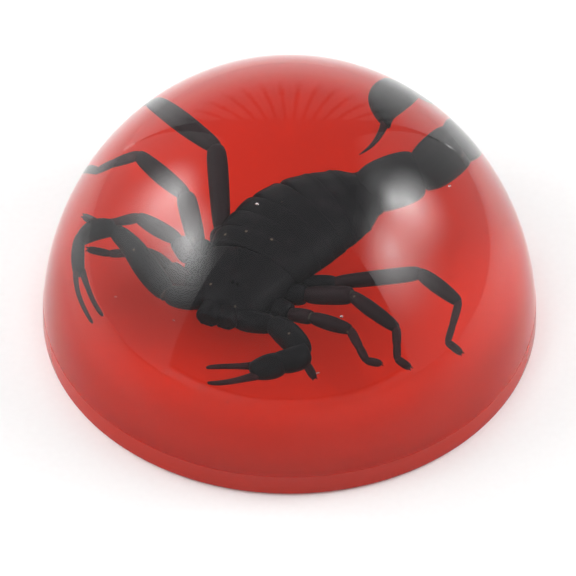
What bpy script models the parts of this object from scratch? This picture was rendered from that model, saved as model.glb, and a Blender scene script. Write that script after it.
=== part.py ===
"""A scorpion cast whole in a clear resin dome that stands on a thin layer of red resin."""

import math

import bmesh
import bpy

MM = 0.001

# The dome. Its profile is a superellipse: a roundness of 2 would be a plain half ellipse.
DOME_RADIUS = 0.040
DOME_HEIGHT = 0.044
DOME_ROUNDNESS = 1.95
RED_LAYER = 0.004
RIM_ROUNDING = 0.0007
GAP = 0.0003

# The clear resin is parted level with the middle of the scorpion.
PARTING_HEIGHT = 0.012
CLEARANCE_MM = 0.3

DOME_STEPS = 44
DOME_RINGS = 9
RIM_RINGS = 3
BODY_SIDES = 14
BODY_TOP = 0.28
BODY_BELLY = 0.21
WELD = 0.000001

# Every route below is in millimetres from the middle of the resting face, and its last
# number is the width there. The head points to -X -Y, and the scorpion's left is to -Y.
BODY = [
    (-8.0, -10.9, 11.9, 6.6),
    (-7.6, -10.2, 12.0, 8.4),
    (-5.8, -6.6, 12.1, 10.1),
    (-3.9, -3.1, 12.1, 11.4),
    (-2.6, -1.1, 12.1, 12.2),
    (-1.2, 0.6, 12.1, 12.8),
    (0.4, 2.4, 12.1, 13.0),
    (2.3, 4.2, 12.1, 12.5),
    (4.4, 5.7, 12.1, 11.6),
    (6.4, 7.0, 12.1, 9.8),
    (8.4, 8.2, 12.1, 6.5),
    (9.0, 8.6, 12.1, 5.0),
]
CARAPACE_END = 3

TAIL_JOINTS = [
    (8.6, 8.6, 12.1),
    (13.5, 10.9, 12.3),
    (17.5, 14.6, 12.5),
    (21.9, 19.2, 12.5),
    (21.2, 25.0, 12.4),
    (12.4, 22.3, 12.3),
]
TAIL_WIDTHS = [6.1, 6.3, 6.2, 5.8, 5.1]

STING = [
    (12.9, 22.6, 12.3, 2.6),
    (11.1, 21.3, 12.4, 4.0),
    (9.6, 19.7, 12.5, 3.8),
    (8.9, 18.2, 12.5, 2.6),
    (8.8, 17.1, 12.5, 1.2),
    (8.6, 15.8, 12.4, 0.9),
    (8.1, 14.6, 12.3, 0.65),
    (7.4, 13.8, 12.2, 0.35),
]

# A leg's joints run from the hip to the claws, and these are the widths between them.
LEG_WIDTHS = [2.4, 2.0, 2.0, 1.15, 1.0]
LEFT_LEGS = [
    [(-3.2, -10.1, 11.0), (-1.0, -10.5, 9.5), (0.6, -11.9, 8.5), (1.5, -14.0, 8.5),
     (2.1, -16.7, 8.5), (3.2, -19.2, 8.0)],
    [(-2.6, -8.4, 11.0), (0.0, -10.4, 11.3), (2.6, -12.3, 12.6), (7.6, -14.4, 12.2),
     (9.8, -18.1, 10.0), (11.8, -17.7, 9.0)],
    [(-1.5, -5.8, 11.0), (2.0, -6.8, 11.4), (7.5, -9.1, 13.4), (13.6, -14.3, 12.2),
     (14.0, -18.0, 10.0), (16.0, -18.9, 9.0)],
    [(-0.5, -3.4, 11.0), (5.4, -4.8, 11.6), (15.7, -5.1, 13.2), (21.9, -9.6, 12.2),
     (20.9, -15.0, 10.0), (23.5, -16.5, 9.0)],
]
RIGHT_LEGS = [
    [(-9.0, -5.9, 11.0), (-12.1, -4.5, 10.5), (-14.7, -2.1, 9.8), (-17.2, 1.2, 9.4),
     (-21.1, 1.6, 9.2), (-24.2, 3.1, 8.8)],
    [(-8.4, -3.4, 11.0), (-11.3, -0.5, 11.6), (-13.0, 0.6, 12.8), (-17.2, 4.6, 12.0),
     (-21.5, 6.2, 10.0), (-24.5, 7.7, 9.0)],
    [(-7.9, -1.2, 11.0), (-10.6, 1.1, 11.6), (-11.5, 7.3, 13.2), (-15.9, 13.4, 12.2),
     (-21.5, 13.2, 10.6), (-26.7, 16.2, 10.2)],
    [(-5.1, 0.6, 11.0), (-7.0, 3.7, 11.6), (-7.2, 13.4, 13.4), (-14.4, 20.7, 12.2),
     (-19.6, 24.4, 10.6), (-22.6, 26.2, 9.8)],
]

LEFT_CLAW_ARM = {
    "root": [(-7.2, -10.0, 11.5, 3.0), (-5.6, -11.6, 11.6, 3.4), (-3.7, -12.5, 11.8, 3.2),
             (-1.8, -13.3, 12.0, 2.6)],
    "upper_arm": [(-2.4, -12.8, 12.0, 2.4), (-0.9, -14.7, 12.1, 3.1), (0.8, -17.5, 12.3, 3.0),
                  (1.6, -19.1, 12.2, 2.6)],
    "forearm": [(1.7, -18.3, 12.3, 2.6), (1.1, -19.6, 12.1, 3.4), (-0.3, -20.1, 11.9, 3.6),
                (-1.8, -20.4, 11.7, 3.0)],
    "hand": [(-0.9, -20.3, 11.7, 3.0), (-2.3, -20.7, 11.5, 4.0), (-4.0, -21.2, 11.2, 3.9),
             (-4.9, -21.4, 11.1, 3.1)],
    "fixed_finger": [(-3.9, -20.2, 11.3, 1.9), (-6.4, -20.6, 11.2, 1.2), (-8.9, -20.4, 10.8, 1.0),
                     (-11.1, -19.9, 10.4, 0.6)],
    "moving_finger": [(-3.9, -22.0, 11.0, 1.9), (-6.7, -22.8, 10.7, 1.2), (-9.0, -23.3, 10.4, 1.0),
                      (-11.2, -23.4, 10.2, 0.6)],
}
RIGHT_CLAW_ARM = {
    "root": [(-9.6, -7.4, 11.6, 3.0), (-12.2, -8.2, 11.8, 3.0), (-14.1, -8.1, 12.0, 3.0),
             (-15.4, -7.7, 12.0, 2.4)],
    "upper_arm": [(-15.0, -8.0, 12.0, 2.4), (-16.2, -6.1, 12.1, 3.4), (-17.8, -2.1, 12.3, 3.6),
                  (-18.9, 0.2, 12.5, 2.9), (-21.2, 3.3, 12.6, 2.3)],
    "forearm": [(-20.6, 3.7, 12.6, 2.2), (-22.4, 3.8, 12.5, 2.8), (-25.4, 3.1, 12.2, 3.0),
                (-27.7, 2.0, 12.0, 2.4)],
    "hand": [(-27.1, 2.9, 12.0, 2.2), (-27.9, 0.8, 11.8, 2.8), (-28.2, -1.2, 11.5, 3.0),
             (-28.0, -3.2, 11.2, 2.7)],
    "fixed_finger": [(-28.5, -2.2, 11.2, 1.6), (-28.9, -5.9, 10.8, 1.1), (-28.3, -8.6, 10.6, 0.9),
                     (-27.3, -11.7, 10.4, 0.55)],
    "moving_finger": [(-27.3, -2.2, 11.3, 1.6), (-26.8, -5.2, 11.1, 1.1), (-26.3, -7.4, 10.9, 0.9),
                      (-25.3, -10.3, 10.6, 0.55)],
}

JAWS = {
    "left_jaw": [(-6.9, -9.8, 12.2, 2.3), (-8.3, -12.2, 12.1, 2.3), (-9.3, -13.5, 11.9, 1.0)],
    "right_jaw": [(-8.6, -9.0, 12.2, 2.3), (-10.1, -11.2, 12.1, 2.3), (-11.4, -12.5, 11.9, 1.0)],
}


def clear_scene():
    for found in list(bpy.data.objects):
        bpy.data.objects.remove(found, do_unlink=True)


def collection(name):
    made = bpy.data.collections.new(name)
    bpy.context.scene.collection.children.link(made)
    return made


def linear(channel):
    return channel / 12.92 if channel <= 0.04045 else ((channel + 0.055) / 1.055) ** 2.4


def finish(name, hex_colour, roughness, transmission=0.0):
    channels = [int(hex_colour[i : i + 2], 16) / 255 for i in (1, 3, 5)]
    material = bpy.data.materials.new(name)
    material.use_nodes = True
    shader = material.node_tree.nodes["Principled BSDF"]
    shader.inputs["Base Color"].default_value = (*map(linear, channels), 1)
    shader.inputs["Roughness"].default_value = roughness
    shader.inputs["Transmission Weight"].default_value = transmission
    shader.inputs["IOR"].default_value = 1.54
    return material


def helper(made):
    """Marks an object as a guide or cutter: it shapes the part and isn't one of its pieces."""
    made.hide_render = True
    made.display_type = "WIRE"
    return made


def dome_radius(height):
    return DOME_RADIUS * (1 - (height / DOME_HEIGHT) ** DOME_ROUNDNESS) ** (1 / DOME_ROUNDNESS)


def dome_side(bottom, top, rings):
    """Points down the dome's outer side between two heights, closer together where it turns in."""
    first = math.asin((top / DOME_HEIGHT) ** (DOME_ROUNDNESS / 2))
    last = math.asin((bottom / DOME_HEIGHT) ** (DOME_ROUNDNESS / 2))
    angles = [first + (last - first) * ring / rings for ring in range(rings + 1)]
    heights = [DOME_HEIGHT * math.sin(angle) ** (2 / DOME_ROUNDNESS) for angle in angles]
    return [(dome_radius(min(height, DOME_HEIGHT)), height) for height in heights]


def turned(name, profile, material, home):
    """A solid of revolution: profile runs from the axis, down the outer side and back to it."""
    mesh = bpy.data.meshes.new(name)
    points = [(radius, 0, height) for radius, height in profile]
    mesh.from_pydata(points, [(i, i + 1) for i in range(len(points) - 1)], [])
    solid = bpy.data.objects.new(name, mesh)
    solid.data.materials.append(material)
    home.objects.link(solid)
    screw = solid.modifiers.new("turn", "SCREW")
    screw.steps = DOME_STEPS
    screw.render_steps = DOME_STEPS
    screw.use_merge_vertices = True
    screw.merge_threshold = WELD
    screw.use_smooth_shade = True
    return solid


def red_base(home, material):
    """The red layer, its lower edge rounded where the casting was sanded flat."""
    top = RED_LAYER
    side = [(dome_radius(top), top), (dome_radius(RIM_ROUNDING), RIM_ROUNDING)]
    centre = dome_radius(0) - RIM_ROUNDING
    for ring in range(1, RIM_RINGS + 1):
        angle = math.pi / 2 * ring / RIM_RINGS
        side.append((centre + RIM_ROUNDING * math.cos(angle), RIM_ROUNDING * (1 - math.sin(angle))))
    return turned("red_base", [(0, top), *side, (0, 0)], material, home)


def resin_half(name, bottom, top, rings, material, home):
    """The part of the clear dome between two heights, with the scorpion's pocket still to cut."""
    side = dome_side(bottom, top, rings)
    start = [] if top == DOME_HEIGHT else [(0, top)]
    return turned(name, [*start, *side, (0, bottom)], material, home)


def sweep(name, route, home, section=None, sides=6):
    """A closed mesh that follows route: round, or with section's outline where one is given."""
    curve = bpy.data.curves.new(name, "CURVE")
    curve.dimensions = "3D"
    curve.twist_mode = "Z_UP"
    curve.use_fill_caps = True
    if section:
        curve.bevel_mode = "OBJECT"
        curve.bevel_object = section
    else:
        curve.bevel_depth = MM / 2
        curve.bevel_resolution = (sides - 4) // 2
    spline = curve.splines.new("POLY")
    spline.points.add(len(route) - 1)
    for point, (x, y, z, width) in zip(spline.points, route):
        point.co = (x * MM, y * MM, z * MM, 1)
        point.radius = width
    made = bpy.data.objects.new(name, curve)
    home.objects.link(made)
    return as_mesh(made, home)


def as_mesh(drawn, home):
    """The drawn curve as a mesh of the same name, its end caps welded to its sides."""
    name = drawn.name
    graph = bpy.context.evaluated_depsgraph_get()
    mesh = bpy.data.meshes.new_from_object(drawn.evaluated_get(graph))
    shape = bmesh.new()
    shape.from_mesh(mesh)
    bmesh.ops.remove_doubles(shape, verts=shape.verts, dist=WELD)
    bmesh.ops.recalc_face_normals(shape, faces=shape.faces)
    shape.to_mesh(mesh)
    shape.free()
    place = drawn.matrix_world.copy()
    bpy.data.objects.remove(drawn, do_unlink=True)
    made = bpy.data.objects.new(name, mesh)
    made.matrix_world = place
    home.objects.link(made)
    return made


def body_section(home):
    """The outline that the body's sweep carries: a domed back over a flatter belly."""
    curve = bpy.data.curves.new("body_section", "CURVE")
    curve.dimensions = "2D"
    spline = curve.splines.new("POLY")
    spline.points.add(BODY_SIDES - 1)
    spline.use_cyclic_u = True
    for side, point in enumerate(spline.points):
        angle = 2 * math.pi * side / BODY_SIDES
        depth = BODY_TOP if math.sin(angle) > 0 else BODY_BELLY
        point.co = (math.cos(angle) * MM / 2, math.sin(angle) * MM * depth, 0, 1)
    made = bpy.data.objects.new("body_section", curve)
    home.objects.link(made)
    return helper(made)


def along(start, end, share):
    return tuple(a + (b - a) * share for a, b in zip(start, end))


def plated(route):
    """The body with its back plates stepped: each is widest just before the next one starts."""
    stepped = route[: CARAPACE_END + 1]
    for start, end in zip(route[CARAPACE_END:], route[CARAPACE_END + 1 :]):
        stepped.append(along(start, end, 0.8))
        stepped.append((*end[:3], end[3] * 0.955))
    return stepped


def leg_route(joints, shaped):
    """A leg, each length swelling past its joint and narrowing to the next one where shaped."""
    route = []
    for start, end, width in zip(joints, joints[1:], LEG_WIDTHS):
        route.append((*start, width * (0.8 if shaped else 1)))
        if shaped:
            route.append((*along(start, end, 0.3), width))
        route.append((*along(start, end, 0.8), width * (0.85 if shaped else 1)))
    return [*route, (*joints[-1], LEG_WIDTHS[-1] * 0.5)]


def tail_ring(start, end, width, shaped):
    """One barrel of the tail, reaching a little way into the next one."""
    shares = [(-0.04, 0.72), (0.16, 0.94), (0.6, 1), (0.92, 0.94), (1.1, 0.7)]
    if not shaped:
        shares = [(-0.04, 0.94), (0.6, 1), (1.1, 0.94)]
    return [(*along(start, end, share), width * swell) for share, swell in shares]


def thickened(route, extra):
    """The route with its width increased all along and its ends moved outwards to suit."""
    first, second = route[0][:3], route[1][:3]
    last, before = route[-1][:3], route[-2][:3]
    grown = [[*point[:3], point[3] + 2 * extra] for point in route]
    grown[0][:3] = along(first, second, -extra / math.dist(first, second))
    grown[-1][:3] = along(last, before, -extra / math.dist(last, before))
    return grown


def limb_routes(shaped):
    """Every limb's name, route and number of sides."""
    routes = [("sting", STING, 8)]
    for ring, width in enumerate(TAIL_WIDTHS):
        joints = TAIL_JOINTS[ring : ring + 2]
        routes.append((f"tail_{ring + 1}", tail_ring(*joints, width, shaped), 10))
    for side, legs in (("left", LEFT_LEGS), ("right", RIGHT_LEGS)):
        for place, joints in enumerate(legs):
            routes.append((f"{side}_leg_{place + 1}", leg_route(joints, shaped), 6))
    for side, arm in (("left", LEFT_CLAW_ARM), ("right", RIGHT_CLAW_ARM)):
        for length, route in arm.items():
            routes.append((f"{side}_{length}", route, 6 if "finger" in length else 8))
    return [*routes, *((jaw, route, 6) for jaw, route in JAWS.items())]


def whole_scorpion(name, home, limb_home, section, extra):
    """The animal as one solid: life-like where extra is 0, or plainer and that much fatter."""
    shaped = extra == 0
    trunk = plated(BODY) if shaped else BODY
    body = sweep(name, thickened(trunk, extra), home, section)
    for limb, route, sides in limb_routes(shaped):
        helper(sweep(f"{name}_{limb}", thickened(route, extra), limb_home, sides=sides))
    join = body.modifiers.new("join limbs", "BOOLEAN")
    join.operation = "UNION"
    join.operand_type = "COLLECTION"
    join.collection = limb_home
    join.solver = "EXACT"
    return body


def cut(solid, cutter):
    pocket = solid.modifiers.new("pocket", "BOOLEAN")
    pocket.operation = "DIFFERENCE"
    pocket.object = cutter
    pocket.solver = "MANIFOLD"


def build():
    clear_scene()
    parts = collection("scorpion_dome_paperweight")
    cutters = collection("cutters")
    limbs = collection("scorpion_limbs")
    pocket_limbs = collection("pocket_limbs")
    red = finish("red resin", "#C3321F", 0.3)
    clear = finish("clear resin", "#FFFFFF", 0.02, transmission=1.0)
    shell = finish("black scorpion shell", "#28262A", 0.45)

    section = body_section(cutters)
    red_base(parts, red)
    lower_bottom = RED_LAYER + GAP
    lower_top = PARTING_HEIGHT - GAP / 2
    lower = resin_half("resin_lower", lower_bottom, lower_top, 2, clear, parts)
    upper_bottom = PARTING_HEIGHT + GAP / 2
    upper = resin_half("resin_upper", upper_bottom, DOME_HEIGHT, DOME_RINGS, clear, parts)
    specimen = whole_scorpion("scorpion", parts, limbs, section, 0)
    specimen.data.materials.append(shell)
    specimen.data.shade_smooth()
    specimen.data.set_sharp_from_angle(angle=math.radians(50))
    pocket = whole_scorpion("pocket", cutters, pocket_limbs, section, CLEARANCE_MM)
    helper(pocket)
    cut(lower, pocket)
    cut(upper, pocket)


build()
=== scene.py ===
"""The looks of a scorpion cast in a clear resin dome on a red resin layer, set up in a studio."""

import math

import bpy
from mathutils import Matrix, Vector


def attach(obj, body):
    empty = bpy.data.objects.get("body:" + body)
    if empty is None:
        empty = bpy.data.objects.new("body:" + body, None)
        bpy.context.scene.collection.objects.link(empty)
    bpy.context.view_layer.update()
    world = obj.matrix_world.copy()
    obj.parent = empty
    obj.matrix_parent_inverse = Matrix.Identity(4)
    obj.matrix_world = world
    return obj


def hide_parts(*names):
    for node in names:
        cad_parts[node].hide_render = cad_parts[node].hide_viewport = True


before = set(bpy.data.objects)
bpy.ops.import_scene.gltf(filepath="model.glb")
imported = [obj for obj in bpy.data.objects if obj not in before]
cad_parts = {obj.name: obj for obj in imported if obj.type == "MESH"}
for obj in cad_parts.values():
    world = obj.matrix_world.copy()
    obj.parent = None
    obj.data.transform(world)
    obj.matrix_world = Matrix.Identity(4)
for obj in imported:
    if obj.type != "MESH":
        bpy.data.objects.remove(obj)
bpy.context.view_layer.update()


# The clear dome. The real one is a single casting of polyester resin round the scorpion, poured
# upside down in a polished mould. It is turned as one solid, in place of both CAD halves, and
# sinks a hair into the red layer, where the two pours have bonded and no air shows.
MM = 0.001
DOME_RADIUS = 40.0 * MM
DOME_HEIGHT = 44.0 * MM
DOME_ROUNDNESS = 1.95
RED_LAYER = 4.0 * MM
BOND = 0.2 * MM
POLISHED_OFF = 0.02 * MM
DOME_RINGS = 72
TURN_STEPS = 192
CREASE = math.radians(40)


def deselect_all():
    bpy.ops.object.select_all(action="DESELECT")


def dome_radius(height):
    """The dome's radius at a height. A roundness of 2 would make its outline an ellipse."""
    share = 1 - (height / DOME_HEIGHT) ** DOME_ROUNDNESS
    return DOME_RADIUS * max(share, 0) ** (1 / DOME_ROUNDNESS)


def turned(name, profile):
    """A round solid: profile is drawn point by point from the axis and back, then spun."""
    deselect_all()
    bpy.ops.mesh.primitive_plane_add(size=MM, location=(0, 0, 0))
    solid = bpy.context.object
    solid.name = solid.data.name = name
    bpy.ops.object.mode_set(mode="EDIT")
    bpy.ops.mesh.select_all(action="SELECT")
    bpy.ops.mesh.merge(type="CENTER")
    bpy.ops.mesh.select_all(action="SELECT")
    bpy.ops.transform.translate(value=(profile[0][0], 0, profile[0][1]))
    for before, after in zip(profile, profile[1:]):
        step = (after[0] - before[0], 0, after[1] - before[1])
        bpy.ops.mesh.extrude_region_move(TRANSFORM_OT_translate={"value": step})
    bpy.ops.mesh.select_all(action="SELECT")
    bpy.ops.mesh.spin(steps=TURN_STEPS, angle=math.tau, center=(0, 0, 0), axis=(0, 0, 1))
    bpy.ops.mesh.select_all(action="SELECT")
    bpy.ops.mesh.remove_doubles(threshold=0.001 * MM)
    bpy.ops.mesh.normals_make_consistent(inside=False)
    bpy.ops.object.mode_set(mode="OBJECT")
    return solid


def linear(hex_colour):
    """An sRGB colour such as "#C3321F" as the linear colour that a shader takes."""
    channels = [int(hex_colour[i : i + 2], 16) / 255 for i in (1, 3, 5)]
    return (*[c / 12.92 if c <= 0.04045 else ((c + 0.055) / 1.055) ** 2.4 for c in channels], 1)


def add_node(tree, kind, inputs=None, **settings):
    """Adds a node with its settings. Each input is a value, or the socket that feeds it."""
    node = tree.nodes.new(kind)
    for name, value in settings.items():
        setattr(node, name, value)
    for socket, value in (inputs or {}).items():
        if isinstance(value, bpy.types.NodeSocket):
            tree.links.new(value, node.inputs[socket])
        else:
            node.inputs[socket].default_value = value
    return node


def blank_material(name):
    """A material with an empty node tree and its output node."""
    material = bpy.data.materials.new(name)
    material.use_nodes = True
    material.node_tree.nodes.clear()
    return material, material.node_tree, add_node(material.node_tree, "ShaderNodeOutputMaterial")


lowest = RED_LAYER - BOND
first_angle = math.asin((lowest / DOME_HEIGHT) ** (DOME_ROUNDNESS / 2))
dome_profile = [(0, DOME_HEIGHT)]
for ring in range(1, DOME_RINGS + 1):
    angle = math.pi / 2 + (first_angle - math.pi / 2) * ring / DOME_RINGS
    height = DOME_HEIGHT * math.sin(angle) ** (2 / DOME_ROUNDNESS)
    dome_profile.append((dome_radius(height) - POLISHED_OFF, height))
dome_profile.append((0, lowest))
clear_dome = turned("clear_dome", dome_profile)

# Tiny bubbles that were caught as the resin set. They are hollows in the casting, so their
# surfaces face their own middles. Each is its place and radius in millimetres.
BUBBLES = [
    ((-3.7, 2.4, 17.5), 0.2),
    ((-21.8, -6.4, 10.0), 0.12),
    ((-14.4, -10.4, 10.0), 0.13),
    ((-8.6, -26.1, 9.0), 0.12),
    ((3.7, -19.4, 9.0), 0.2),
    ((6.6, -13.6, 13.9), 0.2),
    ((17.8, 8.8, 13.0), 0.17),
]
BUBBLE_STRETCH = (1.15, 1.0, 0.8)
bubbles = []
for (x, y, z), radius in BUBBLES:
    deselect_all()
    bpy.ops.mesh.primitive_ico_sphere_add(subdivisions=3, radius=radius * MM,
                                          location=(x * MM, y * MM, z * MM))
    bubbles.append(bpy.context.object)
    bpy.ops.object.mode_set(mode="EDIT")
    bpy.ops.mesh.select_all(action="SELECT")
    bpy.ops.transform.resize(value=BUBBLE_STRETCH)
    bpy.ops.mesh.flip_normals()
    bpy.ops.object.mode_set(mode="OBJECT")
deselect_all()
for hollow in bubbles:
    hollow.select_set(True)
clear_dome.select_set(True)
bpy.context.view_layer.objects.active = clear_dome
bpy.ops.object.join()
bpy.ops.object.shade_smooth_by_angle(angle=CREASE)

# Cast polyester resin, polished: clear with the faintest straw tint through its thickness, and
# with the slow waves that hand polishing leaves in its surface.
POLISH_WAVE = 14 * MM
resin, tree, output = blank_material("clear polyester resin")
place = add_node(tree, "ShaderNodeTexCoord").outputs["Object"]
waves = add_node(tree, "ShaderNodeTexNoise", {
    "Vector": place, "Scale": 1 / POLISH_WAVE, "Detail": 1.0})
polish = add_node(tree, "ShaderNodeBump", {
    "Strength": 0.08, "Distance": 0.2 * MM, "Height": waves.outputs["Fac"]})
surface = add_node(tree, "ShaderNodeBsdfPrincipled", {
    "Base Color": (1, 1, 1, 1), "Roughness": 0.0, "IOR": 1.5, "Transmission Weight": 1.0,
    "Normal": polish.outputs["Normal"]})
tint = add_node(tree, "ShaderNodeVolumeAbsorption", {
    "Color": linear("#FFF3E4"), "Density": 1.0})
tree.links.new(surface.outputs["BSDF"], output.inputs["Surface"])
tree.links.new(tint.outputs["Volume"], output.inputs["Volume"])
clear_dome.data.materials.append(resin)
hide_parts("resin_lower", "resin_upper")
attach(clear_dome, "root")


# The red base layer. The real one is the last pour, a thin layer of opaque red polyester that
# closes the mould and is sanded flat to stand on. It is turned with a small round at its foot.
RIM_ROUNDING = 0.7 * MM
RIM_RINGS = 6
SIDE_RINGS = 4

base_profile = [(0, RED_LAYER)]
for ring in range(SIDE_RINGS + 1):
    height = RED_LAYER + (RIM_ROUNDING - RED_LAYER) * ring / SIDE_RINGS
    base_profile.append((dome_radius(height), height))
for ring in range(1, RIM_RINGS + 1):
    angle = math.pi / 2 * ring / RIM_RINGS
    base_profile.append((dome_radius(0) - RIM_ROUNDING * (1 - math.cos(angle)),
                         RIM_ROUNDING * (1 - math.sin(angle))))
base_profile.append((0, 0))
red_layer = turned("red_layer", base_profile)
deselect_all()
red_layer.select_set(True)
bpy.context.view_layer.objects.active = red_layer
bpy.ops.object.shade_smooth_by_angle(angle=CREASE)

# Red polyester, filled with pigment. Seen through the clear resin it has no gloss, for the two
# have bonded. The pour is a little cloudy. Its red is painted duller towards its rim, first at the
# near side: a painted shade, as less light reaches the rim through the dome's steep sides.
UNSHADED_MIDDLE = (0, 6 * MM, RED_LAYER)
UNSHADED_REACH = 26 * MM
FULL_SHADE_REACH = 35 * MM
CLOUD_SIZE = 8 * MM
CLOUDINESS = 0.16
bonded_red, tree, output = blank_material("red resin bonded to clear")
place = add_node(tree, "ShaderNodeTexCoord").outputs["Object"]
# Painted shade: the red dulls from this reach outwards, where less light comes through the dome.
from_unshaded_middle = add_node(tree, "ShaderNodeVectorMath", {0: place, 1: UNSHADED_MIDDLE},
                        operation="DISTANCE")
rim = add_node(tree, "ShaderNodeMapRange", {
    "Value": from_unshaded_middle.outputs["Value"], "From Min": UNSHADED_REACH, "From Max": FULL_SHADE_REACH},
    interpolation_type="SMOOTHSTEP")
clouds = add_node(tree, "ShaderNodeTexNoise", {
    "Vector": place, "Scale": 1 / CLOUD_SIZE, "Detail": 3.0})
shade = add_node(tree, "ShaderNodeMath", {
    0: clouds.outputs["Fac"], 1: CLOUDINESS, 2: -CLOUDINESS / 2}, operation="MULTIPLY_ADD")
painted_shade_and_clouds = add_node(tree, "ShaderNodeMath", {0: rim.outputs["Result"], 1: shade.outputs[0]},
                    operation="ADD")
pigment = add_node(tree, "ShaderNodeMix", {
    0: painted_shade_and_clouds.outputs[0], 6: linear("#F2301A"), 7: linear("#DC2B17")}, data_type="RGBA")
surface = add_node(tree, "ShaderNodeBsdfPrincipled", {
    "Base Color": pigment.outputs[2], "Roughness": 1.0, "IOR": 1.5, "Specular IOR Level": 0.0})
tree.links.new(surface.outputs["BSDF"], output.inputs["Surface"])

# The same resin on the side and the foot, sanded flush and buffed with the dome, with fine
# scratches along the rim, and a gloss that shows most at a low angle. Its red is painted darker
# than the top's as painted shade, for the side gets less light. The scratches are drawn a sixth
# of a millimetre apart, coarser than the grit, so that they show.
SCRATCH_LENGTH = 2 * MM
SCRATCH_SLIMNESS = 12
side_red_painted_shade, tree, output = blank_material("buffed red polyester resin")
place = add_node(tree, "ShaderNodeTexCoord").outputs["Object"]
along_rim = add_node(tree, "ShaderNodeVectorMath", {0: place, 1: (1, 1, SCRATCH_SLIMNESS)},
                     operation="MULTIPLY")
scratches = add_node(tree, "ShaderNodeTexNoise", {
    "Vector": along_rim.outputs[0], "Scale": 1 / SCRATCH_LENGTH, "Detail": 4.0})
sanding = add_node(tree, "ShaderNodeBump", {
    "Strength": 0.1, "Distance": 0.03 * MM, "Height": scratches.outputs["Fac"]})
# Painted shade: both reds are darker than the top's, as the side gets less light.
pigment = add_node(tree, "ShaderNodeMix", {
    0: scratches.outputs["Fac"], 6: linear("#AE281B"), 7: linear("#BA2D20")}, data_type="RGBA")
surface = add_node(tree, "ShaderNodeBsdfPrincipled", {
    "Base Color": pigment.outputs[2], "Roughness": 0.2, "IOR": 1.5,
    "Normal": sanding.outputs["Normal"]})
tree.links.new(surface.outputs["BSDF"], output.inputs["Surface"])
red_layer.data.materials.append(side_red_painted_shade)
red_layer.data.materials.append(bonded_red)
for face in red_layer.data.polygons:
    faces_up = face.normal.z > 0.9
    face.material_index = 1 if faces_up else 0
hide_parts("red_base")
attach(red_layer, "root")


# The scorpion. The real one is a dried animal, hard black shell with softer brown skin at its
# joints, cast in the resin whole. Each length of body or limb is a round outline, keeled or not,
# that is extruded and resized along its run, furrowed and rounded. All are joined in one mesh.

# Places are in millimetres from the middle of the resting face, and a route's last number is the
# width there. The head points to -X -Y, so the scorpion's left is to +X -Y.
lengths = []


def pick(part, wanted):
    """Selects the corners of part that pass the test, and goes to edit mode."""
    bpy.ops.object.mode_set(mode="EDIT")
    bpy.ops.mesh.select_all(action="DESELECT")
    bpy.ops.object.mode_set(mode="OBJECT")
    for corner in part.data.vertices:
        corner.select = wanted(corner)
    bpy.ops.object.mode_set(mode="EDIT")


def push(part, move, wanted):
    """Moves the corners of a length's back that pass the test on how far aside and behind."""
    pick(part, lambda corner: corner.co.y > 0 and wanted(abs(corner.co.x), corner.co.z))
    bpy.ops.transform.translate(value=move)
    bpy.ops.object.mode_set(mode="OBJECT")


def drawn(name, sides, stations, keel=0.0, belly=1.0, fold=0.0):
    """A closed length of shell along +Z with +Y its back: (place, width, depth, side, lift).

    keel draws every second corner of the outline inwards, belly flattens its lower half, and
    fold draws in the soft flank below its widest line. Each is a share.
    """
    deselect_all()
    bpy.ops.mesh.primitive_circle_add(vertices=sides, radius=0.5, fill_type="NGON",
                                      location=(0, 0, 0))
    part = bpy.context.object
    part.name = part.data.name = name
    if keel:
        pick(part, lambda corner: corner.index % 2)
        bpy.ops.transform.resize(value=(1 - keel, 1 - keel, 1), center_override=(0, 0, 0))
    if fold:
        pick(part, lambda corner: -0.22 < corner.co.y < -0.02)
        bpy.ops.transform.resize(value=(1 - fold, 1, 1), center_override=(0, 0, 0))
    pick(part, lambda corner: corner.co.y < -0.001)
    bpy.ops.transform.resize(value=(1, belly, 1), center_override=(0, 0, 0))
    bpy.ops.mesh.select_all(action="SELECT")
    place, width, depth, side, lift = stations[0]
    bpy.ops.transform.resize(value=(width, depth, 1), center_override=(0, 0, 0))
    bpy.ops.transform.translate(value=(side, lift, place))
    for station in stations[1:]:
        step = (station[3] - side, station[4] - lift, station[0] - place)
        bpy.ops.mesh.extrude_region_move(TRANSFORM_OT_translate={"value": step})
        growth = (station[1] / width, station[2] / depth, 1)
        place, width, depth, side, lift = station
        bpy.ops.transform.resize(value=growth, center_override=(side, lift, place))
    bpy.ops.mesh.select_all(action="SELECT")
    bpy.ops.mesh.normals_make_consistent(inside=False)
    bpy.ops.object.mode_set(mode="OBJECT")
    return part


def rounded(part, levels):
    """Rounds a drawn length between its corners."""
    bpy.context.view_layer.objects.active = part
    rounding = part.modifiers.new("rounding", "SUBSURF")
    rounding.levels = levels
    rounding.render_levels = levels
    bpy.ops.object.modifier_apply(modifier=rounding.name)
    bpy.ops.object.shade_smooth()
    return part


def straight(*stations):
    """Stations of a length that doesn't bend, from (place, width) or (place, width, depth)."""
    return [(s[0], s[1], s[2] if len(s) > 2 else s[1], 0, 0) for s in stations]


def set_in(part, start, turn, size=(1, 1, 1)):
    """Puts a drawn length in its place in the resin and keeps it for the joined mesh."""
    place = Matrix.Translation(start) @ turn.to_matrix().to_4x4() @ Matrix.Diagonal((*size, 1))
    part.matrix_world = Matrix.Scale(MM, 4) @ place
    lengths.append(part)


def copied(pattern, start, end, width, depth=None):
    """A copy of a pattern of length and width 1, set in between two places."""
    copy = pattern.copy()
    copy.data = pattern.data.copy()
    bpy.context.scene.collection.objects.link(copy)
    span = Vector(end) - Vector(start)
    size = (width, depth or width, span.length)
    set_in(copy, Vector(start), span.to_track_quat("Z", "Y"), size)


def along(start, end, share):
    """The place at a share of the way from start to end."""
    return Vector(start[:3]).lerp(Vector(end[:3]), share)


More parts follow.
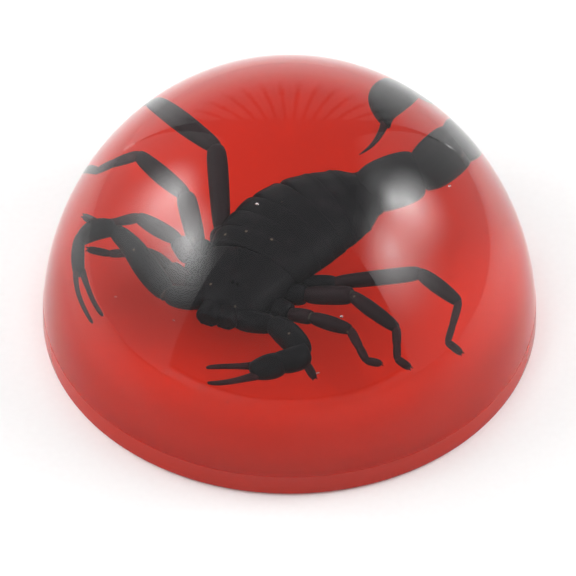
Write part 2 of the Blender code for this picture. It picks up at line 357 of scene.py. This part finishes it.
def limb(name, route, sides, depth, levels, **look):
    """A length of shell drawn along its own route, its outline square to the route's chord."""
    start = Vector(route[0][:3])
    turn = (Vector(route[-1][:3]) - start).to_track_quat("Z", "Y")
    stations = []
    for x, y, z, width in route:
        side, lift, place = turn.inverted() @ (Vector((x, y, z)) - start)
        stations.append((place, width, width * depth, side, lift))
    part = rounded(drawn(name, sides, stations, **look), levels)
    set_in(part, start, turn)
    return part


# Its shell, blackened by drying. In the resin it has hardly any gloss, as resin and shell bend
# light almost alike. Fingers, feet and sting are thinner, and the red shows them browner. Dust
# that was on it when it was cast shows as tan specks. Its granules are drawn coarser than real
# ones, so that they show.
BLOTCH_SIZE = 2.4 * MM
SPECK_SPACING = 3 * MM
SPECK_EDGE = 0.24 * MM
SPECK_CORE = 0.09 * MM
GRANULE_SIZE = 0.77 * MM


def shell_material(name, dark, pale, share):
    """Shell in a dark colour, with pale blotches on up to that share of it."""
    material, tree, output = blank_material(name)
    place = add_node(tree, "ShaderNodeTexCoord").outputs["Object"]
    blotches = add_node(tree, "ShaderNodeTexNoise", {
        "Vector": place, "Scale": 1 / BLOTCH_SIZE, "Detail": 3.0, "Roughness": 0.6})
    patches = add_node(tree, "ShaderNodeMapRange", {
        "Value": blotches.outputs["Fac"], "From Min": 1 - share, "From Max": 0.85})
    colour = add_node(tree, "ShaderNodeMix", {
        0: patches.outputs["Result"], 6: linear(dark), 7: linear(pale)}, data_type="RGBA")
    cells = add_node(tree, "ShaderNodeTexVoronoi", {"Vector": place, "Scale": 1 / SPECK_SPACING})
    specks = add_node(tree, "ShaderNodeMapRange", {
        "Value": cells.outputs["Distance"], "From Min": SPECK_EDGE / SPECK_SPACING,
        "From Max": SPECK_CORE / SPECK_SPACING, "To Min": 0, "To Max": 0.7})
    dusty = add_node(tree, "ShaderNodeMix", {
        0: specks.outputs["Result"], 6: colour.outputs[2], 7: linear("#7A6A5C")},
        data_type="RGBA")
    granules = add_node(tree, "ShaderNodeTexNoise", {
        "Vector": place, "Scale": 1 / GRANULE_SIZE, "Detail": 2.0, "Roughness": 0.5})
    relief = add_node(tree, "ShaderNodeBump", {
        "Strength": 0.06, "Distance": 0.04 * MM, "Height": granules.outputs["Fac"]})
    surface = add_node(tree, "ShaderNodeBsdfPrincipled", {
        "Base Color": dusty.outputs[2], "Roughness": 0.45, "Specular IOR Level": 0.05,
        "Normal": relief.outputs["Normal"]})
    tree.links.new(surface.outputs["BSDF"], output.inputs["Surface"])
    return material


shell = shell_material("dried black shell", "#161518", "#242124", 0.5)
leg_shell = shell_material("brown-black leg shell", "#271A1D", "#352427", 0.5)
thin_shell = shell_material("thin red-brown shell", "#351C1F", "#46292B", 0.5)
skin = shell_material("pale joint skin", "#332E2B", "#6A6159", 0.6)
eye_shell = shell_material("glossy black eye", "#0C0C0E", "#121214", 0.5)

# The trunk: the head shield with its eye hump and furrows, then the back plates, over a flatter
# belly. The soft flank between them is folded in.
BODY = [
    (-8.0, -10.9, 11.9, 6.6),
    (-7.6, -10.2, 12.0, 8.4),
    (-5.8, -6.6, 12.1, 10.1),
    (-4.1, -2.95, 12.1, 12.0),
    (-2.8, -0.95, 12.1, 12.8),
    (-1.4, 0.75, 12.1, 13.2),
    (0.2, 2.55, 12.1, 13.4),
    (2.2, 4.3, 12.1, 12.8),
    (4.4, 5.7, 12.1, 11.6),
    (6.4, 7.0, 12.1, 9.8),
    (8.4, 8.2, 12.1, 6.5),
    (9.0, 8.6, 12.1, 5.0),
]
CARAPACE_END = 3
BACK_DEPTH = 0.56
BELLY_SHARE = 0.75
brow, shield_rear = Vector(BODY[0][:3]), Vector(BODY[CARAPACE_END][:3])
shield_facing = (shield_rear - brow).to_track_quat("Z", "Y")
shield_length = math.dist(BODY[0][:3], BODY[CARAPACE_END][:3])
shield = drawn("head_shield", 32, straight(
    (0.0, 5.6, 2.3), (0.25, 6.9, 3.1), (1.0, 8.2, 4.2), (2.2, 9.0, 4.9), (3.4, 9.6, 5.3),
    (4.4, 10.1, 5.6), (6.2, 10.8, 6.0), (7.8, 11.3, 6.3), (8.6, 11.5, 6.4),
    (shield_length + 0.1, 11.2, 6.2)), belly=BELLY_SHARE, fold=0.05)
# The notch in its brow, the middle furrow, the hump for the eyes, and a furrow at each side.
push(shield, (0, -0.1, 0.35), lambda aside, behind: aside < 0.9 and behind < 0.3)
push(shield, (0, -0.28, 0), lambda aside, behind: aside < 0.1 and behind > 4)
push(shield, (0, 0.22, 0), lambda aside, behind: aside < 1.2 and 2 < behind < 4)
push(shield, (0, -0.16, 0), lambda aside, behind: abs(aside - 3.6) < 0.6 and behind > 7)
rounded(shield, 2)
shield.data.materials.append(shell)
set_in(shield, brow, shield_facing)

# Each back plate starts tucked under the one before, and its hind edge laps over the next.
ring_places = zip(BODY[CARAPACE_END:-1], BODY[CARAPACE_END + 1 :])
for number, (front, rear) in enumerate(ring_places, start=1):
    length = math.dist(front[:3], rear[:3])
    begin, end = front[3] * 0.985, rear[3]
    middle = (begin + end) / 2
    plate = drawn(f"back_plate_{number}", 32, [
        (place, width, width * BACK_DEPTH, 0, 0) for place, width in (
            (-0.3, begin * 0.93), (0.1, begin), (length * 0.45, middle * 1.01),
            (length * 0.8, end), (length * 0.98, end * 0.998), (length + 0.12, end * 0.993),
            (length + 0.16, end * 0.96))], belly=BELLY_SHARE, fold=0.07)
    push(plate, (0, 0.1, 0), lambda aside, behind: aside < 0.1)
    rounded(plate, 2)
    plate.data.materials.append(shell)
    facing = (Vector(rear[:3]) - Vector(front[:3])).to_track_quat("Z", "Y")
    set_in(plate, Vector(front[:3]), facing)

# Its eyes: a pair on the hump, and three small ones at each front corner.
eye = rounded(drawn("eye", 8, straight((0, 0.5), (0.2, 0.9), (0.7, 0.9), (1, 0.5))), 1)
eye.data.materials.append(eye_shell)
for aside, behind, high, size in ((0.38, 3.0, 2.9, 0.55), (3.05, 0.75, 0.95, 0.34),
                                  (3.4, 1.15, 0.95, 0.34), (3.7, 1.6, 0.9, 0.3)):
    for hand in (-1, 1):
        spot = brow + shield_facing @ Vector((aside * hand, high, behind))
        half = Vector((0, 0, size / 2))
        copied(eye, spot - half, spot + half, size)
bpy.data.objects.remove(eye)

# Its jaws, two blunt blocks side by side, each with two short teeth tucked under its front.
JAWS = [[(-7.0, -9.6, 12.1), (-8.25, -12.8, 11.9)], [(-8.8, -8.7, 12.1), (-10.4, -12.2, 11.9)]]
for root, tip in JAWS:
    route = [(*along(root, tip, share), width) for share, width in (
        (0, 2.4), (0.2, 3.0), (0.6, 3.3), (0.85, 3.4), (0.96, 3.1), (1.0, 2.4))]
    limb("jaw", route, 16, 0.8, 1).data.materials.append(shell)
    across = (Vector(tip) - Vector(root)).normalized().cross((0, 0, 1)) * 0.6
    for hand in (-1, 1):
        route = []
        for share, width in ((0.7, 0.9), (0.85, 1.0), (0.95, 0.8), (1.02, 0.4)):
            spot = along(root, tip, share) + across * hand - Vector((0, 0, 0.75))
            route.append((*spot, width))
        limb("jaw_tooth", route, 8, 0.9, 1).data.materials.append(shell)

# Its tail: five keeled rings, each with a narrow neck in the one before, a bulb and the sting.
TAIL_RINGS = [
    ((7.6, 8.5, 12.1), (13.5, 10.8, 12.3), 6.7),
    ((13.6, 10.6, 12.3), (18.4, 15.4, 12.5), 6.4),
    ((17.4, 14.4, 12.5), (22.4, 19.8, 12.5), 6.4),
    ((22.4, 19.8, 12.5), (21.2, 25.0, 12.4), 5.8),
    ((21.2, 25.0, 12.4), (12.4, 22.3, 12.3), 5.1),
]
TAIL_DEPTH = 0.86
tail_ring = rounded(drawn("tail_ring", 16, straight(
    (-0.06, 0.66), (0.02, 0.74), (0.09, 0.84), (0.26, 0.96), (0.5, 1.0), (0.74, 0.99),
    (0.9, 0.93), (0.97, 0.86), (1.03, 0.74), (1.06, 0.6)), keel=0.07, belly=0.95), 2)
tail_ring.data.materials.append(shell)
for start, end, width in TAIL_RINGS:
    copied(tail_ring, start, end, width, width * TAIL_DEPTH)
bpy.data.objects.remove(tail_ring)
BULB = [(13.0, 22.6, 12.3, 2.2), (12.1, 22.15, 12.3, 3.1), (11.05, 21.35, 12.35, 3.9),
        (10.2, 20.35, 12.4, 4.05), (9.2, 19.4, 12.45, 4.0), (8.5, 18.35, 12.5, 3.4),
        (8.6, 17.5, 12.5, 2.9), (8.85, 16.95, 12.5, 2.2), (9.0, 16.65, 12.5, 1.4)]
STING = [(9.15, 17.2, 12.5, 1.2), (9.05, 16.4, 12.45, 0.88), (8.8, 15.65, 12.4, 0.7),
         (8.35, 14.8, 12.3, 0.54), (7.7, 14.0, 12.2, 0.36), (6.75, 13.3, 12.15, 0.12)]
limb("sting_bulb", BULB, 16, 0.95, 2).data.materials.append(shell)
limb("sting", STING, 12, 1.0, 1).data.materials.append(thin_shell)

# Its eight legs. Joints run from the hip to the claws. Each length is one pattern, copied.
LEGS = [
    [(-3.2, -10.1, 11.0), (-1.0, -10.5, 9.5), (0.6, -11.9, 8.5), (1.5, -14.0, 8.5),
     (2.1, -16.7, 8.5), (3.2, -19.2, 8.0)],
    [(-2.6, -8.4, 11.0), (0.1, -10.3, 11.3), (2.7, -12.3, 12.6), (7.7, -14.3, 12.2),
     (10.0, -18.1, 10.0), (11.9, -17.7, 9.0)],
    [(-1.5, -6.0, 11.0), (2.0, -7.0, 11.4), (7.6, -9.1, 13.4), (13.8, -14.2, 12.2),
     (14.2, -18.0, 10.0), (16.1, -18.9, 9.0)],
    [(-0.5, -4.7, 11.0), (5.4, -5.0, 11.6), (15.9, -5.1, 13.2), (22.1, -9.5, 12.2),
     (21.1, -15.0, 10.0), (23.6, -16.5, 9.0)],
    [(-9.0, -5.9, 11.0), (-11.9, -4.5, 10.8), (-13.8, -1.8, 10.3), (-16.6, 1.5, 9.7),
     (-20.9, 1.75, 9.2), (-24.0, 2.85, 8.8)],
    [(-8.4, -3.6, 11.0), (-11.5, -1.3, 11.6), (-12.8, 0.9, 12.8), (-17.0, 4.95, 12.0),
     (-21.4, 5.6, 9.8), (-23.8, 7.9, 9.0)],
    [(-7.9, -1.2, 11.0), (-10.35, 1.1, 11.6), (-11.25, 7.3, 13.2), (-15.8, 13.4, 12.2),
     (-21.5, 13.2, 10.6), (-26.7, 16.2, 10.2)],
    [(-6.9, -0.4, 11.0), (-7.4, 3.4, 11.6), (-7.3, 13.4, 13.4), (-14.4, 20.7, 12.2),
     (-19.6, 24.4, 10.6), (-22.6, 26.2, 9.8)],
]
LEG_WIDTHS = [
    [2.4, 2.0, 2.05, 1.3, 1.2],
    [3.2, 2.1, 2.05, 1.3, 1.2],
    [3.1, 2.6, 2.05, 1.3, 1.2],
    [2.2, 2.1, 2.15, 1.3, 1.2],
    [3.4, 2.8, 2.35, 1.2, 1.0],
    [3.4, 2.5, 2.1, 1.3, 1.1],
    [2.8, 2.5, 2.15, 1.3, 1.2],
    [3.4, 2.35, 2.2, 1.3, 1.2],
]
LEG_LENGTHS = [
    ("hip", shell, [(-0.1, 0.8), (0.1, 1.0), (0.7, 1.0), (0.95, 0.86), (1.04, 0.6)]),
    ("thigh", leg_shell, [(-0.05, 0.5), (0.0, 0.72), (0.08, 0.86), (0.3, 0.96), (0.7, 1.0),
                          (0.9, 0.97), (0.98, 0.84), (1.03, 0.55)]),
    ("knee", leg_shell, [(-0.04, 0.5), (0.02, 0.78), (0.16, 0.94), (0.4, 1.04), (0.65, 1.0),
                         (0.88, 0.84), (0.98, 0.7), (1.03, 0.45)]),
    ("shin", thin_shell, [(-0.06, 0.5), (0.0, 0.88), (0.12, 1.04), (0.36, 1.0), (0.54, 0.88),
                          (0.58, 0.8), (0.64, 0.92), (0.85, 0.9), (0.97, 0.8), (1.04, 0.5)]),
    ("foot", thin_shell, [(-0.1, 0.5), (0.0, 0.84), (0.2, 1.0), (0.6, 1.02), (0.9, 0.9),
                          (1.02, 0.5)]),
]
for place, (name, material, stations) in enumerate(LEG_LENGTHS):
    pattern = rounded(drawn(name, 12, straight(*stations)), 1)
    pattern.data.materials.append(material)
    for joints, widths in zip(LEGS, LEG_WIDTHS):
        copied(pattern, joints[place], joints[place + 1], widths[place])
    bpy.data.objects.remove(pattern)

# The soft skin that shows where a joint stands open, by (leg, joint), and between the claw arms'
# first lengths.
joint_skin = rounded(drawn("joint_skin", 12, straight(
    (0, 0.5), (0.2, 0.95), (0.5, 1.0), (0.8, 0.95), (1, 0.5))), 1)
joint_skin.data.materials.append(skin)
for leg, place in ((1, 2), (2, 2), (3, 1), (4, 2)):
    joints, width = LEGS[leg], LEG_WIDTHS[leg][place] * 0.7
    ahead = (Vector(joints[place + 1]) - Vector(joints[place - 1])).normalized() * 0.22
    copied(joint_skin, Vector(joints[place]) - ahead, Vector(joints[place]) + ahead, width)

# Each foot ends in a pair of curved claws that spread apart: (reach, lift, width) along one claw.
FOOT_CLAW = [(0, 0.0, 0.3), (0.2, 0.06, 0.26), (0.38, 0.02, 0.18), (0.5, -0.1, 0.06)]
for joints in LEGS:
    toe = Vector(joints[5])
    ahead = (toe - Vector(joints[4])).normalized()
    across = ahead.cross((0, 0, 1))
    for hand in (-1, 1):
        route = []
        for reach, lift, width in FOOT_CLAW:
            spot = toe + ahead * (reach - 0.15) + across * hand * (0.18 + reach * 0.3)
            route.append((*(spot + Vector((0, 0, lift))), width))
        limb("foot_claw", route, 6, 1.0, 1).data.materials.append(thin_shell)

# Its claw arms, each length drawn along its own route.
LEFT_ARM = [
    ("root", [(-7.2, -10.0, 11.5, 2.6), (-6.6, -10.7, 11.55, 3.2), (-5.6, -11.6, 11.6, 3.5),
              (-4.2, -12.3, 11.75, 3.3), (-2.6, -13.0, 11.95, 2.8), (-1.9, -13.3, 12.0, 2.2)]),
    ("upper_arm", [(-2.3, -12.5, 12.0, 2.4), (-1.6, -13.2, 12.05, 3.2), (-0.6, -14.5, 12.1, 3.75),
                   (0.4, -16.15, 12.2, 3.8), (1.2, -17.6, 12.3, 3.6), (1.75, -18.8, 12.2, 3.0),
                   (1.9, -19.3, 12.2, 2.1)]),
    ("forearm", [(2.3, -18.1, 12.3, 2.7), (2.1, -18.9, 12.2, 3.4), (1.45, -19.6, 12.1, 3.7),
                 (0.5, -20.1, 12.0, 3.8), (-0.6, -20.3, 11.8, 3.7), (-1.5, -20.5, 11.7, 3.3),
                 (-1.9, -20.6, 11.7, 2.4)]),
    ("hand", [(-0.7, -20.35, 11.7, 2.7), (-1.2, -20.5, 11.65, 3.5), (-2.1, -20.75, 11.5, 3.9),
              (-3.1, -21.0, 11.35, 3.8), (-4.1, -21.25, 11.2, 3.3), (-4.9, -21.45, 11.1, 2.7),
              (-5.3, -21.55, 11.1, 1.9)]),
    ("fixed_finger", [(-3.9, -20.4, 11.3, 1.7), (-5.0, -20.55, 11.25, 1.2),
                      (-6.3, -20.55, 11.2, 0.95), (-7.8, -20.4, 11.0, 0.85),
                      (-9.3, -20.2, 10.75, 0.78), (-10.6, -20.1, 10.5, 0.68),
                      (-11.15, -20.15, 10.4, 0.42)]),
    ("moving_finger", [(-3.9, -22.1, 11.0, 1.7), (-5.2, -22.5, 10.9, 1.25), (-6.6, -22.9, 10.7, 1.0),
                       (-8.1, -23.2, 10.5, 0.88), (-9.6, -23.4, 10.35, 0.8),
                       (-10.7, -23.35, 10.25, 0.68), (-11.25, -23.25, 10.2, 0.42)]),
]
RIGHT_ARM = [
    ("root", [(-9.4, -7.3, 11.6, 2.6), (-10.4, -7.8, 11.65, 3.1), (-12.2, -8.25, 11.8, 3.2),
              (-13.8, -8.15, 12.0, 3.1), (-14.8, -7.85, 12.0, 2.8), (-15.5, -7.6, 12.0, 2.1)]),
    ("upper_arm", [(-14.9, -7.7, 12.0, 2.2), (-15.4, -7.0, 12.05, 3.0), (-16.1, -5.7, 12.1, 3.4),
                   (-17.0, -3.8, 12.2, 3.7), (-17.85, -1.9, 12.3, 3.6), (-18.8, 0.2, 12.5, 3.0),
                   (-20.1, 1.8, 12.6, 2.6), (-21.1, 2.9, 12.6, 1.9)]),
    ("forearm", [(-20.5, 3.0, 12.6, 1.9), (-21.3, 3.05, 12.55, 2.5), (-22.6, 3.1, 12.5, 2.9),
                 (-24.1, 3.0, 12.35, 3.1), (-25.4, 2.7, 12.2, 3.05), (-26.7, 2.2, 12.05, 2.6),
                 (-27.4, 1.8, 12.0, 1.9)]),
    ("hand", [(-26.4, 3.0, 12.0, 1.9), (-26.95, 2.1, 11.9, 2.5), (-27.4, 0.8, 11.8, 2.85),
              (-27.7, -0.6, 11.6, 2.95), (-27.85, -2.0, 11.4, 2.8), (-27.9, -3.1, 11.2, 2.45),
              (-27.9, -3.5, 11.2, 1.7)]),
    ("fixed_finger", [(-28.3, -2.2, 11.2, 1.6), (-28.7, -4.0, 11.0, 1.2), (-28.8, -5.9, 10.8, 1.0),
                      (-28.6, -7.7, 10.7, 0.92), (-28.15, -9.4, 10.55, 0.86),
                      (-27.55, -11.2, 10.45, 0.78), (-27.15, -12.15, 10.4, 0.5)]),
    ("moving_finger", [(-27.2, -2.2, 11.3, 1.6), (-26.95, -3.9, 11.2, 1.2), (-26.7, -5.4, 11.1, 1.0),
                       (-26.4, -7.0, 10.95, 0.92), (-25.95, -8.6, 10.8, 0.86),
                       (-25.3, -10.1, 10.65, 0.78), (-24.9, -10.75, 10.6, 0.5)]),
]
for side, arm in (("left", LEFT_ARM), ("right", RIGHT_ARM)):
    for name, route in arm:
        finger = "finger" in name
        part = limb(f"{side}_{name}", route, 12 if finger else 16, 0.95, 1,
                    keel=0 if finger else 0.04)
        part.data.materials.append(thin_shell if finger else shell)
    root, upper_arm = arm[0][1], arm[1][1]
    joint = along(root[-1], upper_arm[0], 0.5)
    spread = (Vector(upper_arm[1][:3]) - Vector(root[-2][:3])).normalized() * 0.25
    copied(joint_skin, joint - spread, joint + spread, root[-1][3] * 1.02)
bpy.data.objects.remove(joint_skin)

# One animal, so all its lengths are joined in one mesh.
deselect_all()
for length in lengths:
    length.select_set(True)
bpy.context.view_layer.objects.active = lengths[0]
bpy.ops.object.transform_apply(location=True, rotation=True, scale=True)
bpy.ops.object.join()
dried_scorpion = bpy.context.object
dried_scorpion.name = dried_scorpion.data.name = "dried_scorpion"
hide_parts("scorpion")
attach(dried_scorpion, "root")


# The floor: a sheet of white paper, far larger than the view, that the dome stands on. Its fibres
# are drawn coarser than real ones, so that its tooth shows.
PAPER_WIDTH = 4.0
FIBRE_SIZE = 1.1 * MM
deselect_all()
bpy.ops.mesh.primitive_plane_add(size=PAPER_WIDTH, location=(0, 0, 0))
floor = bpy.context.object
floor.name = "paper_floor"
paper, tree, output = blank_material("white paper")
place = add_node(tree, "ShaderNodeTexCoord").outputs["Object"]
fibres = add_node(tree, "ShaderNodeTexNoise", {
    "Vector": place, "Scale": 1 / FIBRE_SIZE, "Detail": 4.0})
tooth = add_node(tree, "ShaderNodeBump", {
    "Strength": 0.15, "Distance": 0.02 * MM, "Height": fibres.outputs["Fac"]})
tone = add_node(tree, "ShaderNodeMix", {
    0: fibres.outputs["Fac"], 6: linear("#F6F4F4"), 7: linear("#FAF9F9")}, data_type="RGBA")
surface = add_node(tree, "ShaderNodeBsdfPrincipled", {
    "Base Color": tone.outputs[2], "Roughness": 0.9, "Specular IOR Level": 0.1,
    "Normal": tooth.outputs["Normal"]})
tree.links.new(surface.outputs["BSDF"], output.inputs["Surface"])
floor.data.materials.append(paper)


# The shaded table: in the photograph the dome mirrors a floor that darkens towards the camera.
# This sheet lies a hair above the paper. It is hidden from the camera, shades nothing and lights
# nothing, so it shows only in the dome.
SHADE_WIDTH = 3.9
SHADE_HEIGHT = 0.5 * MM
DARKEST_Y = -80 * MM
PALEST_Y = 5 * MM
deselect_all()
bpy.ops.mesh.primitive_plane_add(size=SHADE_WIDTH, location=(0, 0, SHADE_HEIGHT))
shaded_table = bpy.context.object
shaded_table.name = "shaded_table"
dim_paper, tree, output = blank_material("white paper in half shade")
place = add_node(tree, "ShaderNodeTexCoord").outputs["Object"]
depth = add_node(tree, "ShaderNodeSeparateXYZ", {0: place})
fall_off = add_node(tree, "ShaderNodeMapRange", {
    "Value": depth.outputs["Y"], "From Min": DARKEST_Y, "From Max": PALEST_Y, "To Min": 0.45,
    "To Max": 0.97}, interpolation_type="SMOOTHSTEP")
tone = add_node(tree, "ShaderNodeCombineColor", {
    0: fall_off.outputs[0], 1: fall_off.outputs[0], 2: fall_off.outputs[0]})
surface = add_node(tree, "ShaderNodeBsdfDiffuse", {"Color": tone.outputs[0], "Roughness": 1.0})
tree.links.new(surface.outputs["BSDF"], output.inputs["Surface"])
shaded_table.data.materials.append(dim_paper)
shaded_table.visible_camera = False
shaded_table.visible_shadow = False
shaded_table.visible_diffuse = False


# The light tent: white cloth at both sides, glowing evenly and more where the lamps stand behind
# it, and a white sweep behind with a round top. They are hidden from the camera and show in the
# dome's gloss.
WALL_X = 168 * MM
WALL_FRONT = -140 * MM
WALL_BACK = 200 * MM
WALL_TOP = 300 * MM
WALL_FADE = 215 * MM
SWEEP_HALF_WIDTH = 165 * MM
SWEEP_TOP = 270 * MM
SWEEP_BRIGHTEST = 30 * MM
SWEEP_DIMMED = 150 * MM
SWEEP_FADE = 185 * MM
FOLDS_BEGIN = 80 * MM
FOLDS_FULL = 130 * MM
FOLD_SPACING = 21 * MM
WAVE_LENGTH = math.pi / 10
ROOM_GLOW = 0.47


def hanging_glow(tree, place, glow):
    """The glow of cloth that is hung up by its top: dimmer upwards, with dark upright folds.

    The wave texture repeats once in each WAVE_LENGTH of its own unit.
    """
    height = add_node(tree, "ShaderNodeSeparateXYZ", {0: place}).outputs["Z"]
    middle = add_node(tree, "ShaderNodeMapRange", {
        "Value": height, "From Min": SWEEP_BRIGHTEST, "From Max": SWEEP_DIMMED,
        "To Min": 1.25 * glow, "To Max": 0.68 * glow}, interpolation_type="SMOOTHSTEP")
    top = add_node(tree, "ShaderNodeMapRange", {
        "Value": height, "From Min": SWEEP_FADE, "From Max": SWEEP_TOP, "To Min": 1, "To Max": 0.8})
    waves = add_node(tree, "ShaderNodeTexWave", {
        "Vector": place, "Scale": WAVE_LENGTH / FOLD_SPACING, "Distortion": 2.5, "Detail": 2.0,
        "Detail Scale": 12.0})
    folds = add_node(tree, "ShaderNodeMapRange", {
        "Value": waves.outputs["Fac"], "From Min": 0.65, "From Max": 1.0, "To Min": 0,
        "To Max": 0.46}, interpolation_type="SMOOTHSTEP")
    reach = add_node(tree, "ShaderNodeMapRange", {
        "Value": height, "From Min": FOLDS_BEGIN, "From Max": FOLDS_FULL, "To Min": 0, "To Max": 1})
    shadow = add_node(tree, "ShaderNodeMath", {0: folds.outputs[0], 1: reach.outputs[0]},
                      operation="MULTIPLY")
    lit = add_node(tree, "ShaderNodeMath", {0: 1.0, 1: shadow.outputs[0]}, operation="SUBTRACT")
    whole = add_node(tree, "ShaderNodeMath", {0: middle.outputs[0], 1: top.outputs[0]},
                     operation="MULTIPLY")
    return add_node(tree, "ShaderNodeMath", {0: whole.outputs[0], 1: lit.outputs[0]},
                    operation="MULTIPLY").outputs[0]


def cloth(sheet, name, glow, lamps=(), hung=False):
    """Makes a sheet glow on its inner side. Each lamp is its place, radius and strength."""
    sheet.name = name
    bpy.ops.object.transform_apply(location=True, rotation=True, scale=True)
    material, tree, output = blank_material(name + " cloth")
    place = add_node(tree, "ShaderNodeTexCoord").outputs["Object"]
    if hung:
        total = hanging_glow(tree, place, glow)
    else:
        height = add_node(tree, "ShaderNodeSeparateXYZ", {0: place}).outputs["Z"]
        total = add_node(tree, "ShaderNodeMapRange", {
            "Value": height, "From Min": WALL_FADE, "From Max": WALL_TOP, "To Min": glow,
            "To Max": ROOM_GLOW}, interpolation_type="SMOOTHSTEP").outputs[0]
    for spot, radius, strength in lamps:
        moved = add_node(tree, "ShaderNodeVectorMath", {0: place, 1: spot}, operation="SUBTRACT")
        shrunk = add_node(tree, "ShaderNodeVectorMath", {
            0: moved.outputs[0], "Scale": 1 / radius}, operation="SCALE")
        fade = add_node(tree, "ShaderNodeTexGradient", {"Vector": shrunk.outputs[0]},
                        gradient_type="QUADRATIC_SPHERE")
        lamp = add_node(tree, "ShaderNodeMath", {0: fade.outputs["Fac"], 1: strength, 2: total},
                        operation="MULTIPLY_ADD")
        total = lamp.outputs[0]
    light = add_node(tree, "ShaderNodeEmission", {"Color": (1, 1, 1, 1), "Strength": total})
    from_outside = add_node(tree, "ShaderNodeNewGeometry").outputs["Backfacing"]
    unseen = add_node(tree, "ShaderNodeBsdfTransparent")
    surface = add_node(tree, "ShaderNodeMixShader", {
        0: from_outside, 1: light.outputs[0], 2: unseen.outputs[0]})
    tree.links.new(surface.outputs[0], output.inputs["Surface"])
    sheet.data.materials.append(material)
    sheet.visible_camera = False


# The lamps behind the left wall (-1) and the right one (1): (y, z, radius) in millimetres, strength.
WALL_LAMPS = {
    -1: [(40, 151, 88, 7.7), (-53, 161, 108, 10.9), (28, 111, 98, 3.6)],
    1: [(19, 173, 51, 6.6), (-65, 155, 118, 7.8), (26, 137, 81, 10.8), (40, 205, 90, 1.4)],
}
for side, name, glow in ((-1, "left_wall", 0.74), (1, "right_wall", 0.72)):
    deselect_all()
    bpy.ops.mesh.primitive_plane_add(
        size=1, location=(side * WALL_X, (WALL_FRONT + WALL_BACK) / 2, WALL_TOP / 2),
        rotation=(0, -side * math.pi / 2, 0))
    bpy.ops.transform.resize(value=(1, WALL_BACK - WALL_FRONT, WALL_TOP))
    lamps = [(Vector((side * WALL_X, y * MM, z * MM)), radius * MM, strength)
             for y, z, radius, strength in WALL_LAMPS[side]]
    cloth(bpy.context.object, name, glow, lamps)
deselect_all()
bpy.ops.mesh.primitive_circle_add(vertices=96, radius=1, fill_type="NGON",
                                  location=(0, WALL_BACK, 0), rotation=(math.pi / 2, 0, 0))
bpy.ops.transform.resize(value=(SWEEP_HALF_WIDTH, 1, SWEEP_TOP))
cloth(bpy.context.object, "back_sweep", 0.86, hung=True)


# The studio's lamps above the tent: round soft boxes aimed at the dome, by compass angle from
# straight behind it, height angle, distance, width and watts. The dome doesn't reflect them.
SOFT_BOXES = [
    (0, 35, 0.5, 0.3, 4.9),
    (300, 30, 0.5, 0.3, 5.9),
    (60, 30, 0.5, 0.3, 2.5),
    (225, 40, 0.5, 0.3, 0.31),
    (90, 46, 0.2, 0.055, 0.02),
    (300, 46, 0.2, 0.055, 0.018),
]
for compass, height, distance, width, watts in SOFT_BOXES:
    compass, height = math.radians(compass), math.radians(height)
    away = Vector((math.sin(compass) * math.cos(height), math.cos(compass) * math.cos(height),
                   math.sin(height)))
    deselect_all()
    bpy.ops.object.light_add(type="AREA", location=away * distance,
                             rotation=away.to_track_quat("Z", "Y").to_euler())
    soft_box = bpy.context.object
    soft_box.name = "soft_box"
    soft_box.data.shape = "DISK"
    soft_box.data.size = width
    soft_box.data.energy = watts
    soft_box.visible_camera = False
    soft_box.visible_glossy = False

# The room behind the tent: plain white to the camera, and dimmer as light and in the gloss.
world = bpy.data.worlds.new("dim room")
bpy.context.scene.world = world
world.use_nodes = True
tree = world.node_tree
tree.nodes.clear()
seen = add_node(tree, "ShaderNodeLightPath").outputs["Is Camera Ray"]
room = add_node(tree, "ShaderNodeMix", {0: seen, 2: ROOM_GLOW, 3: 1.0}, data_type="FLOAT")
sky = add_node(tree, "ShaderNodeBackground", {"Strength": room.outputs[0]})
output = add_node(tree, "ShaderNodeOutputWorld", {"Surface": sky.outputs[0]})


# The camera, on a long lens that looks down on the dome at 45 degrees. Its distance, angle and
# lens are those at which the dome's rim and top fall where the photograph has them.
CAMERA_DISTANCE = 0.640
CAMERA_ANGLE = math.radians(45.3)
CAMERA_AIM = Vector((-0.24, 0, 5.65)) * MM
LENS_MM = 246.2
SENSOR_MM = 36
camera_place = Vector((0, -math.cos(CAMERA_ANGLE), math.sin(CAMERA_ANGLE))) * CAMERA_DISTANCE
looking = (CAMERA_AIM - camera_place).to_track_quat("-Z", "Y").to_euler()
bpy.ops.object.camera_add(location=camera_place, rotation=looking)
camera = bpy.context.object
camera.name = "camera"
camera.data.lens = LENS_MM
camera.data.sensor_width = SENSOR_MM
bpy.context.scene.camera = camera
bpy.context.scene.view_settings.view_transform = "Standard"
